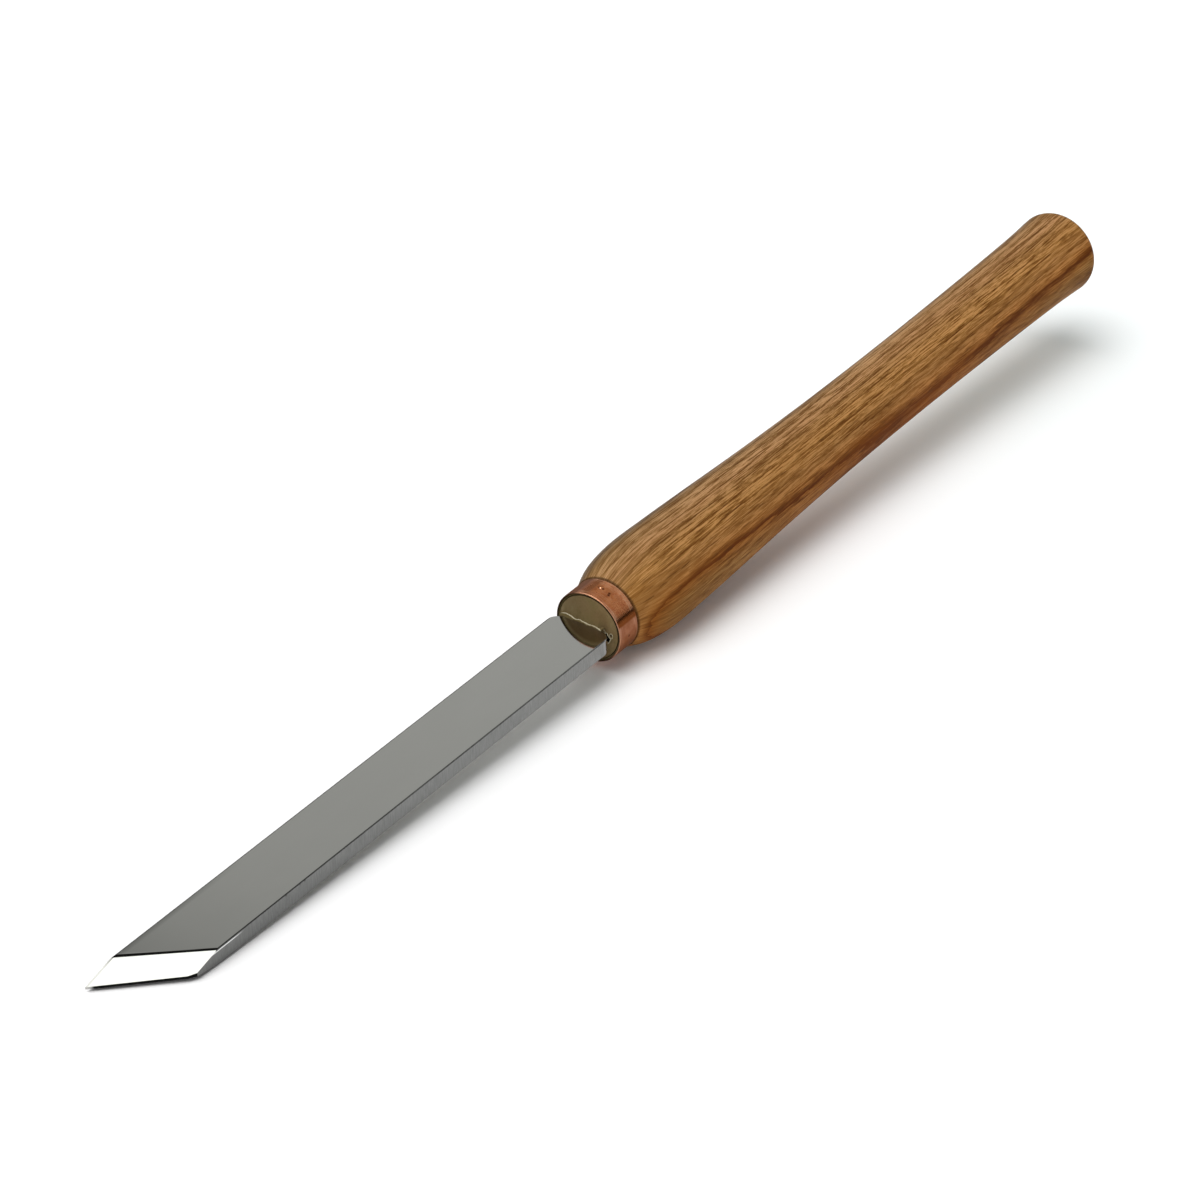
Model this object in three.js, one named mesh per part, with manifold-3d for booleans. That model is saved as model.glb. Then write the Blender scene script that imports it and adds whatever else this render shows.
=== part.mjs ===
// A woodturner's skew chisel, lying on a flat surface as it would be put down.
// Lengths are millimetres. Every piece is made in the tool's own frame: X runs along the handle
// towards its butt, Y across the blade towards its long point and Z out of the blade's upper face,
// with zero at the middle of the ferrule's front rim. The whole tool is then laid down on Z = 0.

import * as THREE from "three";
import { mergeVertices } from "three/addons/utils/BufferGeometryUtils.js";
import Module from "manifold-3d";

const wasm = await Module();
wasm.setup();

// Blade: flat bar, ground to a skewed edge with a bevel on each side
const bladeWidth = 20;
const bladeThickness = 5;
const bladeReach = 201;
const skewDegrees = 45.5;
const bevelDegrees = 22.5;
const longEdgeEase = 0.4;
const shoulderStandoff = 1.9;
const shoulderRadius = 3.5;

// Tang: the same bar, tapering into the handle
const tangRootWidth = 7.6;
const tangTipWidth = 4.4;
const tangLength = 78;

// Seat: the blade was glued in by hand, a little low, to one side and nose up
const seatDrop = 0.4;
const seatSideShift = 0.3;
const seatRiseDegrees = 0.5;

// Ferrule: a ring of copper pipe, rolled over at the front and punched into the wood
const ferruleDiameter = 22;
const ferruleWall = 1;
const ferruleLength = 8.5;
const ferruleRolledRadius = 0.8;
const ferruleBackEase = 0.2;
const dimpleCount = 4;
const firstDimpleDegrees = 97;
const dimpleDiameter = 1.2;
const dimpleDepth = 0.35;

// Handle: turned wood, measured behind the ferrule
const woodLength = 254.7;
const woodProudOfFerrule = 0.1;
const woodFrontEase = 0.3;
const bellyDiameter = 29.8;
const waistDiameter = 24.2;
const buttDiameter = 27.6;
const buttRounding = 4;
const endGrainRecess = 0.3;

// Adhesive round the tang, and clearances between nested pieces
const adhesiveWall = 0.5;
const adhesiveBehindTang = 2;
const beadProud = 0.25;
const beadSideMargin = 2.6;
const beadVoidDiameter = 1.2;
const fitGap = 0.3;

// Where the handle's outline passes between its named diameters. Each row holds a place, as a
// share of the wood's length, and how far the outline has gone from one diameter to the next.
const riseToBellyShares = [[0.03, 0.68], [0.07, 0.985]];
const fallToWaistShares = [[0.125, 0.09], [0.2, 0.295], [0.32, 0.675], [0.46, 0.943], [0.62, 1]];
const flareToButtShares = [[0.78, 0.22], [0.92, 0.575]];
const boreStepShare = 0.55;

// Finish of the facets
const roundSegments = 64;
const arcSteps = 8;
const stepsPerOutlinePoint = 4;
const cutterOverrun = 6;

const halfWidth = bladeWidth / 2;
const halfThickness = bladeThickness / 2;
const skew = THREE.MathUtils.degToRad(skewDegrees);
const bevel = THREE.MathUtils.degToRad(bevelDegrees);
const ferruleRadius = ferruleDiameter / 2;
const ferruleBore = ferruleRadius - ferruleWall;
const tangStart = -shoulderStandoff;
const tangEnd = tangStart + tangLength;
const woodFront = ferruleLength + fitGap;
const buttEnd = ferruleLength + woodLength;

const steel = new THREE.MeshStandardMaterial({ color: 0x8d8f8a, roughness: 0.16, metalness: 1 });
const copper = new THREE.MeshStandardMaterial({ color: 0xb5714f, roughness: 0.35, metalness: 1 });
const wood = new THREE.MeshStandardMaterial({ color: 0x9a6b3b, roughness: 0.42, metalness: 0 });
const resin = new THREE.MeshStandardMaterial({ color: 0xb9ab82, roughness: 0.55, metalness: 0 });

// Points of an arc in an outline, its two ends included
function arc(centreX, centreY, radius, startAngle, endAngle) {
  const points = [];
  for (let step = 0; step <= arcSteps; step += 1) {
    const angle = THREE.MathUtils.lerp(startAngle, endAngle, step / arcSteps);
    points.push(new THREE.Vector2(centreX + radius * Math.cos(angle), centreY + radius * Math.sin(angle)));
  }
  return points;
}

// Turns an outline, given as places along the tool and radii, round the tool's long axis
function turned(outline) {
  const profile = outline.map((point) => new THREE.Vector2(point.y, point.x));
  const geometry = new THREE.LatheGeometry(profile, roundSegments);
  return geometry.rotateZ(-Math.PI / 2);
}

// A solid for joining and cutting, from a closed geometry
function solidOf(geometry) {
  const bare = geometry.clone();
  bare.deleteAttribute("normal");
  bare.deleteAttribute("uv");
  const merged = mergeVertices(bare);
  const corners = merged.index.array;
  const kept = [];
  for (let start = 0; start < corners.length; start += 3) {
    const [a, b, c] = corners.slice(start, start + 3);
    if (a !== b && b !== c && c !== a) {
      kept.push(a, b, c);
    }
  }
  const vertProperties = new Float32Array(merged.attributes.position.array);
  return new wasm.Manifold(new wasm.Mesh({ numProp: 3, vertProperties, triVerts: new Uint32Array(kept) }));
}

function geometryOf(solid) {
  const mesh = solid.getMesh();
  const geometry = new THREE.BufferGeometry();
  geometry.setAttribute("position", new THREE.BufferAttribute(mesh.vertProperties, 3));
  geometry.setIndex(new THREE.BufferAttribute(mesh.triVerts, 1));
  geometry.computeVertexNormals();
  return geometry;
}

function namedMesh(name, geometry, material) {
  const mesh = new THREE.Mesh(geometry, material);
  mesh.name = name;
  return mesh;
}

// From the blade's frame to the tool's: the blade sits in the handle as its seat sizes say
function seatMatrix() {
  const rise = new THREE.Matrix4().makeRotationY(THREE.MathUtils.degToRad(seatRiseDegrees));
  return rise.setPosition(0, seatSideShift, -seatDrop);
}

// The cutting edge's place along the blade at a distance across it
function edgeAt(across) {
  return -bladeReach + (halfWidth - across) / Math.tan(skew);
}

// The heel is the line where a bevel meets the flat of the blade
function heelAt(across) {
  return edgeAt(across) + halfThickness / Math.tan(bevel) / Math.sin(skew);
}

function tangHalfWidthAt(along) {
  const share = (along - tangStart) / tangLength;
  return THREE.MathUtils.lerp(tangRootWidth, tangTipWidth, share) / 2;
}

// The bar's plan: overrun past the edge at the front, rounded shoulders and the tang behind
function bladePlan() {
  const tipHalf = tangTipWidth / 2;
  const rootHalf = tangRootWidth / 2;
  const cornerX = tangStart - shoulderRadius;
  const cornerY = halfWidth - shoulderRadius;
  return new THREE.Shape([
    new THREE.Vector2(edgeAt(halfWidth) - cutterOverrun, halfWidth),
    new THREE.Vector2(edgeAt(-halfWidth) - cutterOverrun, -halfWidth),
    ...arc(cornerX, -cornerY, shoulderRadius, -Math.PI / 2, 0),
    new THREE.Vector2(tangStart, -rootHalf),
    new THREE.Vector2(tangEnd, -tipHalf),
    new THREE.Vector2(tangEnd, tipHalf),
    new THREE.Vector2(tangStart, rootHalf),
    ...arc(cornerX, cornerY, shoulderRadius, 0, Math.PI / 2),
  ]);
}

// A block whose near face is one bevel, on the upper side (1) or the under side (-1)
function bevelCutter(side) {
  const size = 2 * (bladeWidth / Math.sin(skew) + cutterOverrun);
  const inward = new THREE.Vector3(Math.sin(skew), Math.cos(skew), 0);
  const out = new THREE.Vector3(0, 0, side);
  const slope = inward.clone().multiplyScalar(Math.cos(bevel)).addScaledVector(out, Math.sin(bevel));
  const normal = out.clone().multiplyScalar(Math.cos(bevel)).addScaledVector(inward, -Math.sin(bevel));
  const along = slope.clone().cross(normal);
  const centre = new THREE.Vector3(edgeAt(0), 0, 0).addScaledVector(normal, size / 2);
  const place = new THREE.Matrix4().makeBasis(along, slope, normal).setPosition(centre);
  return solidOf(new THREE.BoxGeometry(size, size, size).applyMatrix4(place));
}

function bladeGeometry() {
  const bar = new THREE.ExtrudeGeometry(bladePlan(), {
    depth: bladeThickness - 2 * longEdgeEase,
    bevelEnabled: true,
    bevelThickness: longEdgeEase,
    bevelSize: longEdgeEase,
    bevelOffset: -longEdgeEase,
    bevelSegments: 1,
  });
  bar.translate(0, 0, longEdgeEase - halfThickness);
  const ground = solidOf(bar).subtract(bevelCutter(1)).subtract(bevelCutter(-1));
  return geometryOf(ground).applyMatrix4(seatMatrix());
}

// Radius of a round bore that clears the tang's corners at one place, with adhesive between
function boreRadiusAt(along) {
  const corner = Math.hypot(tangHalfWidthAt(along) + fitGap, halfThickness + fitGap);
  return corner + Math.hypot(seatDrop, seatSideShift) + adhesiveWall + fitGap;
}

const boreStep = tangStart + boreStepShare * tangLength;
const boreEnd = tangEnd + adhesiveBehindTang + fitGap;
const boreRadius = boreRadiusAt(tangStart);
const boreTipRadius = boreRadiusAt(boreStep);

// The outer outline of the wood from the ferrule to the butt
function woodOutline() {
  const frontRadius = ferruleRadius + woodProudOfFerrule;
  const bellyRadius = bellyDiameter / 2;
  const waistRadius = waistDiameter / 2;
  const buttRadius = buttDiameter / 2;
  const between = (shares, from, to) => shares.map(([place, share]) => (
    new THREE.Vector2(ferruleLength + place * woodLength, THREE.MathUtils.lerp(from, to, share))
  ));
  const curve = new THREE.SplineCurve([
    new THREE.Vector2(woodFront, frontRadius),
    ...between(riseToBellyShares, frontRadius, bellyRadius),
    ...between(fallToWaistShares, bellyRadius, waistRadius),
    ...between(flareToButtShares, waistRadius, buttRadius),
    new THREE.Vector2(buttEnd - buttRounding, buttRadius),
  ]);
  const along = curve.getPoints((curve.points.length - 1) * stepsPerOutlinePoint);
  const butt = arc(buttEnd - buttRounding, buttRadius - buttRounding, buttRounding, Math.PI / 2, 0);
  return [...along, ...butt.slice(1)];
}

function handleGeometry() {
  const tenonRadius = ferruleBore - fitGap;
  const outer = woodOutline();
  const easedFront = new THREE.Vector2(woodFront, outer[0].y - woodFrontEase);
  outer[0].x += woodFrontEase;
  return turned([
    new THREE.Vector2(boreEnd, 0),
    new THREE.Vector2(boreEnd, boreTipRadius),
    new THREE.Vector2(boreStep, boreTipRadius),
    new THREE.Vector2(boreStep, boreRadius),
    new THREE.Vector2(endGrainRecess, boreRadius),
    new THREE.Vector2(endGrainRecess, tenonRadius),
    new THREE.Vector2(woodFront, tenonRadius),
    easedFront,
    ...outer,
    new THREE.Vector2(buttEnd, 0),
  ]);
}

function dimpleCutter(index) {
  const rimRadius = dimpleDiameter / 2;
  const ballRadius = (rimRadius * rimRadius + dimpleDepth * dimpleDepth) / (2 * dimpleDepth);
  const angle = THREE.MathUtils.degToRad(firstDimpleDegrees) + (index * 2 * Math.PI) / dimpleCount;
  const ball = new THREE.SphereGeometry(ballRadius, arcSteps * 2, arcSteps);
  ball.translate(ferruleLength / 2, ferruleRadius - dimpleDepth + ballRadius, 0);
  return solidOf(ball.rotateX(angle));
}

function ferruleGeometry() {
  const rolledY = ferruleRadius - ferruleRolledRadius;
  const ring = turned([
    new THREE.Vector2(0, ferruleBore),
    ...arc(ferruleRolledRadius, rolledY, ferruleRolledRadius, Math.PI, Math.PI / 2),
    new THREE.Vector2(ferruleLength - ferruleBackEase, ferruleRadius),
    new THREE.Vector2(ferruleLength, ferruleRadius - ferruleBackEase),
    new THREE.Vector2(ferruleLength, ferruleBore),
    new THREE.Vector2(0, ferruleBore),
  ]);
  let punched = solidOf(ring);
  for (let index = 0; index < dimpleCount; index += 1) {
    punched = punched.subtract(dimpleCutter(index));
  }
  return geometryOf(punched);
}

// The space that the tang takes in the adhesive, a clearance larger all round
function tangPocket() {
  const start = tangStart - cutterOverrun;
  const end = tangEnd + fitGap;
  const plan = new THREE.Shape([
    new THREE.Vector2(start, -tangHalfWidthAt(start) - fitGap),
    new THREE.Vector2(end, -tangHalfWidthAt(end) - fitGap),
    new THREE.Vector2(end, tangHalfWidthAt(end) + fitGap),
    new THREE.Vector2(start, tangHalfWidthAt(start) + fitGap),
  ]);
  const depth = bladeThickness + 2 * fitGap;
  const pocket = new THREE.ExtrudeGeometry(plan, { depth, bevelEnabled: false });
  return solidOf(pocket.translate(0, 0, -depth / 2).applyMatrix4(seatMatrix()));
}

// The pad squeezed out between the blade's shoulder and the end grain, round at its two sides
function squeezedPad() {
  const front = tangStart + fitGap;
  const depth = endGrainRecess - fitGap - front;
  const halfHeight = halfThickness + beadProud;
  const straight = halfWidth - beadSideMargin - halfHeight;
  const section = new THREE.Shape([
    ...arc(straight, 0, halfHeight, -Math.PI / 2, Math.PI / 2),
    ...arc(-straight, 0, halfHeight, Math.PI / 2, (3 * Math.PI) / 2),
  ]);
  const pad = new THREE.ExtrudeGeometry(section, { depth, bevelEnabled: false });
  pad.rotateX(Math.PI / 2).rotateZ(Math.PI / 2).translate(front, 0, 0);
  const hole = new THREE.CylinderGeometry(
    beadVoidDiameter / 2, beadVoidDiameter / 2, halfHeight + beadVoidDiameter, arcSteps * 2,
  );
  hole.rotateX(Math.PI / 2).translate(front + depth / 2, -straight - beadVoidDiameter / 2, halfHeight);
  return solidOf(pad).subtract(solidOf(hole));
}

function adhesiveGeometry() {
  const mouth = endGrainRecess - 2 * fitGap;
  const plug = turned([
    new THREE.Vector2(mouth, 0),
    new THREE.Vector2(mouth, boreRadius - fitGap),
    new THREE.Vector2(boreStep - fitGap, boreRadius - fitGap),
    new THREE.Vector2(boreStep - fitGap, boreTipRadius - fitGap),
    new THREE.Vector2(boreEnd - fitGap, boreTipRadius - fitGap),
    new THREE.Vector2(boreEnd - fitGap, 0),
  ]);
  const pad = squeezedPad().transform(seatMatrix().elements);
  return geometryOf(solidOf(plug).add(pad).subtract(tangPocket()));
}

// How far the tool tips and rolls when its belly and both heel corners under the blade touch down
function restingAttitude() {
  const cornerAt = (across) => (
    new THREE.Vector3(heelAt(across), across, -halfThickness).applyMatrix4(seatMatrix())
  );
  const longHeel = cornerAt(halfWidth - longEdgeEase);
  const shortHeel = cornerAt(longEdgeEase - halfWidth);
  const step = longHeel.clone().sub(shortHeel);
  const across = Math.hypot(step.y, step.z);
  const rollFor = (tilt) => Math.asin((-Math.tan(tilt) * step.x) / across) - Math.atan2(step.z, step.y);
  const upFor = (tilt) => new THREE.Vector3(
    Math.sin(tilt),
    Math.cos(tilt) * Math.sin(rollFor(tilt)),
    Math.cos(tilt) * Math.cos(rollFor(tilt)),
  );
  const outline = woodOutline();
  const bellyHeight = (tilt) => Math.min(
    ...outline.map((point) => point.x * Math.sin(tilt) - point.y * Math.cos(tilt)),
  );
  let low = 0;
  let high = skew / 2;
  const halvings = 50;
  for (let count = 0; count < halvings; count += 1) {
    const tilt = (low + high) / 2;
    if (bellyHeight(tilt) < upFor(tilt).dot(longHeel)) {
      low = tilt;
    } else {
      high = tilt;
    }
  }
  return { tilt: low, roll: rollFor(low) };
}

const tool = new THREE.Group();
tool.add(namedMesh("blade_with_tang", bladeGeometry(), steel));
tool.add(namedMesh("ferrule", ferruleGeometry(), copper));
tool.add(namedMesh("handle", handleGeometry(), wood));
tool.add(namedMesh("tang_adhesive", adhesiveGeometry(), resin));

// Lay the tool down, with the middle of its footprint at zero
const attitude = restingAttitude();
tool.rotation.set(attitude.roll, -attitude.tilt, 0, "YXZ");
const footprint = new THREE.Box3().setFromObject(tool, true);
const middle = footprint.getCenter(new THREE.Vector3());
tool.position.set(-middle.x, -middle.y, -footprint.min.z);

const skewChisel = new THREE.Group();
skewChisel.add(tool);

export default skewChisel;
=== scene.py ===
"""A skew chisel lying on a pale floor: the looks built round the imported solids.

Lengths are millimetres in the tool's own frame until a mesh is made: X runs along the handle
towards its butt, Y across the blade towards its long point and Z out of the blade's upper face,
with zero at the middle of the ferrule's front rim. Ways round the long axis are degrees from Y
towards Z. Most pairs of numbers are fades: nothing at the first and full at the second.
"""

import math

import bmesh
import bpy
import numpy as np
from mathutils import Euler, Matrix, Vector


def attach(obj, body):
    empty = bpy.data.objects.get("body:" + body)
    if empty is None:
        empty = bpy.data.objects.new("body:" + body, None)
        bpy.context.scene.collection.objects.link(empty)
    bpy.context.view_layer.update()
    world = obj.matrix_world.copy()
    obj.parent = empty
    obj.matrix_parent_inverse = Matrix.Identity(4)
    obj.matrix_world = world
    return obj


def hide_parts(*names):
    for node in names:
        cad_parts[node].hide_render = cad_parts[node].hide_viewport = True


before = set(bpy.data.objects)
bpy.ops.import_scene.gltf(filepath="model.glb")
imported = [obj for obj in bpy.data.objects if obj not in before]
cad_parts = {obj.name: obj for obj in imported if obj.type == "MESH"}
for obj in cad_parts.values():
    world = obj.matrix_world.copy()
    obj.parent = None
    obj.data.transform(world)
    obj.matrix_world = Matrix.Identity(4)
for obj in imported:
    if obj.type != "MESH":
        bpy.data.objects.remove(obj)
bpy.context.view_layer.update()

MM = 0.001

# How the tool lies on the floor, and how the blade sits in the handle
TILT, ROLL = math.radians(3.717264), math.radians(3.168964)
LIE = (-31.2935, 0, 13.13085)
PLACE = (
    Matrix.Translation(Vector(LIE) * MM)
    @ Matrix.Rotation(-TILT, 4, "Y")
    @ Matrix.Rotation(ROLL, 4, "X")
)
SEAT_DROP, SEAT_SIDE, SEAT_RISE = 0.4, 0.3, math.radians(0.5)
SEAT = Matrix.Translation(Vector((0, SEAT_SIDE, -SEAT_DROP)) * MM) @ Matrix.Rotation(SEAT_RISE, 4, "Y")

# Blade
WIDTH, THICK, REACH, SKEW = 20.0, 5.0, 201.0, math.radians(45.5)
EASE, STANDOFF, SHOULDER, NEAR_SHOULDER = 0.4, 1.9, 3.5, 4.2
TANG_ROOT, TANG_TIP, TANG_LENGTH = 7.6, 4.4, 78.0
TIP_OVERRUN, CUT_TOLERANCE = 6.0, 1e-6
EASE_STEPS, SHOULDER_STEPS, NEAR_SHOULDER_STEPS = 5, 12, 16
# The ground tip in the blade's frame: the upper heel line, the edge's two ends and its blunt height,
# its worn near end, the lower heel's far end, then the upper bevel's angle and its heel's two radii
HEEL_LINE = (-173.0, -10.1), (-187.03, 6.51)
EDGE_NEAR, EDGE_FAR, EDGE_FLAT = (-182.2, -10.0, 0.15), (-200.77, 10.0, -0.28), 0.9
WORN_NEAR_END = (-183.4, -8.7), (-181.3, -10.0)
LOW_HEEL_FAR = (-192.54, 10.0, -2.5)
GRIND, HEEL_ROUNDS, HEEL_CUTS = math.radians(19.5), (3.6, 5.4), 12
# Pits on the near edge, in the tool's frame
PITS = [(-146.0, -9.9, 3.1), (-140.4, -9.95, 3.05), (-138.4, -9.9, 3.05)]

# Ferrule: eased at the back and turned in at the front. Inside its worn front rim a slope runs down to
# the bore, given by places along the tool and heights over the bore.
FERRULE_RADIUS, FERRULE_BORE, FERRULE_LENGTH = 11.0, 10.0, 8.5
FERRULE_BACK, FERRULE_TURNED_IN = 0.2, 0.22
FERRULE_SLOPE = [(0.7, 0.0), (0.45, 0.12), (0.14, 0.45), (0.02, 0.66)]
FERRULE_SEGMENTS, FERRULE_ROWS, FERRULE_TURNED_STEPS = 400, 44, 8
# Dents as a place, a way round, a depth and a width, how many widths they reach, and dark places
DENTS = [(4.67, 95, 0.34, 0.36), (4.3, 186.3, 0.2, 0.42), (4.4, 277, 0.3, 0.4), (4.5, 7, 0.3, 0.4)]
DENT_REACH = 3
DARK_SPOTS = [(4.84, 99.8), (3.95, 113.2), (4.7, 112.0)] + [dent[:2] for dent in DENTS[1:]]

# Handle, its profile's places as shares of the wood's length and of the step between two radii
WOOD, WOOD_FRONT, FRONT_RADIUS, FRONT_EASE = 254.7, 8.8, 11.1, 0.3
BELLY, WAIST, BUTT, BUTT_ROUND, BUTT_RING = 14.9, 12.1, 13.8, 4.0, 5.0
RISE_SHARES = [(0.03, 0.68), (0.07, 0.985)]
FALL_SHARES = [(0.125, 0.09), (0.2, 0.295), (0.32, 0.675), (0.46, 0.943), (0.62, 1.0)]
FLARE_SHARES = [(0.78, 0.22), (0.92, 0.575)]
PROFILE_STEPS, BUTT_STEPS, WOOD_SEGMENTS = 16, 14, 160
# The tenon under the ferrule and the stepped bore, each as a radius and where it starts or ends
TENON, TENON_FRONT = 9.7, 0.3
MOUTH, MOUTH_END, BORE, BORE_END = 9.3, 3.0, 4.5, 76.0

# Adhesive: its end face, uneven by seeded bumps, lies in the ferrule, and its body fills the bore
FACE, FACE_BACK, FACE_FRONT, FACE_GAP = 0.14, 2.2, -1.88, 0.12
BUMPS, BUMP_SPREAD, BUMP_WIDTHS, BUMP_HEIGHT, BUMP_SEED = 40, 9, (1.0, 2.6), 0.03, 4
GLUE_GAP, GLUE_RIM, GLUE_END = 0.02, 0.62, 75.9
# Rows across the end face, and finer ones where it curves: from, to and step
ROW_STEP, ROW_MARGIN, FACE_COLUMNS, EVEN_SHARE = 0.15, 0.02, 220, 0.65
FINE_ROWS = [(1.95, 3.0, 0.06), (-1.5, 0.7, 0.06), (-3.6, -2.5, 0.1)]
# The shelf squeezed out behind the blade: fades by the height above the blade, then across it
SHELF, SHELF_LIP, SHELF_TOP = 2.02, (0.0, 0.14), (0.3, 0.16)
SHELF_NEAR, SHELF_NEAR_LEAN, SHELF_NEAR_LOW, SHELF_NEAR_FADE = -6.35, 0.25, (1.6, 0.3), 0.3
SHELF_FAR = (8.8, 8.4)
WEDGE_FOOT, WEDGE_HEIGHT, WEDGE_FADE = 0.1, 1.8, (-4.2, -4.9)
SWELL_START, SWELL_REACH, SWELL_RADIUS, SWELL_POWER = 0.1, 2.4, 10, 6
SWELL_NEAR, SWELL_FAR, SWELL_LOW = (-7.2, -4.2), (9.6, 7.6), (0.6, 2.2)
# A void in the end face, then a pinhole beside it
VOID = [
    (-5.1, -0.3), (-5.5, 0.14), (-6.42, 0.22), (-7.0, -0.6), (-7.45, -1.4), (-6.75, -2.65), (-6.1, -2.6),
]
VOID_DEPTH, VOID_WALL, VOID_CLEAR = 2.0, (-0.06, 0.1), (0.0, -0.35)
PINHOLE, PINHOLE_DEPTH, PINHOLE_WALL = (-7.6, -0.21), 1.1, (0.36, 0.22)

# Cream bead: along the blade's rear edge (blade's frame), down the end face, and a strand beside it,
# all a little wavy and lumpy, and thinner at both ends
BEAD_SHELF = [
    (-1.26, 8.34, 2.68), (-0.63, 7.03, 2.68), (-0.87, 5.02, 2.68), (-1.44, 3.13, 2.68),
    (-1.09, 1.87, 2.68), (-1.45, 0.13, 2.68), (-1.62, -1.6, 2.68), (-1.49, -2.98, 2.68),
    (-1.88, -4.67, 2.66), (-2.0, -5.5, 2.6),
]
BEAD_FACE = [
    (-2.06, -5.76, 1.95), (-1.52, -5.74, 1.45), (-0.86, -5.6, 0.88), (-0.18, -5.48, 0.34),
    (-0.02, -5.86, 0.3), (0.0, -6.36, 0.3), (0.0, -6.87, -0.5), (0.0, -7.53, -1.23),
    (0.0, -7.3, -2.0), (0.0, -7.06, -2.52), (0.0, -6.61, -3.12),
]
STRAND = [(-0.85, -5.25, 2.35), (-0.85, -5.8, 1.92), (-0.35, -5.95, 1.05), (-0.12, -5.95, 0.5)]
BEAD_RADIUS, BEAD_FACE_RADIUS, BEAD_CORNER, STRAND_RADIUS = 0.13, 0.135, -5.5, 0.1
BEAD_WAVE, WAVE_SEEDS, WAVE_POINTS = 0.045, (11, 12), 5
BEAD_LUMPS, LUMP_SEED, LUMP_POINTS, BEAD_THINNEST = 0.22, 13, 4, 0.55
BEAD_END, BEAD_TAPER = 0.25, 6
BEAD_STEPS, STRAND_STEPS, CORD_SEGMENTS, FINE_CORD_SEGMENTS = 10, 6, 10, 8
# The ring round the pinhole: its middle, its two radii, its cord's radius
RING_AT, RING_RADII, RING_CORD, RING_STEPS = (0.06, -7.75, -0.25), (0.5, 0.82), 0.08, 24

# Studio: the room's brightness at each elevation before and behind the camera, a panel, the key lamp.
# Elevations, the panel's way and radius and the lamp's angle are degrees.
ROOM_AHEAD = [
    (0, 0.02), (9, 0.02), (15, 0.38), (22, 0.42), (32, 0.46), (38, 0.49), (43, 0.39), (48, 0.30),
    (49.8, 0.012), (71, 0.012), (75, 1.95),
]
ROOM_BEHIND = [(0, 0.06), (12, 0.68), (74, 0.68), (80, 2.2)]
AHEAD_WAY, NEAR_SIDE_LEVEL = 10, 0.3
PANEL_WAY, PANEL_RADIUS, PANEL_SOFT, PANEL_LEVEL = (125, 58), 33, 5, 1.65
KEY_WAY, KEY_ANGLE, KEY_LEVEL = (-0.45, 0.03, 1.0), 50, 0.47
FLOOR_HALF, FLOOR_LIFT = 8000, 0.06
LIFT_BLADE, LIFT_FRONT, LIFT_BUTT = (0.15, 0.15, 0.15), (0.66, 0.66, 0.66), (0.33, 1.0, 1.0)
LIFT_TO_FRONT, LIFT_TO_BUTT = (-30, 20), (110, 210)

# Camera: its place in the world in millimetres, its turns in degrees, its lens
CAMERA_AT, CAMERA_TURNS = (-839.131, -601.793, 571.331), (61.36857, 1.64836, -54.41433)
LENS, SENSOR, CLIP = 123.3876, 36.0, (0.05, 50)


# Node graphs


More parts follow.
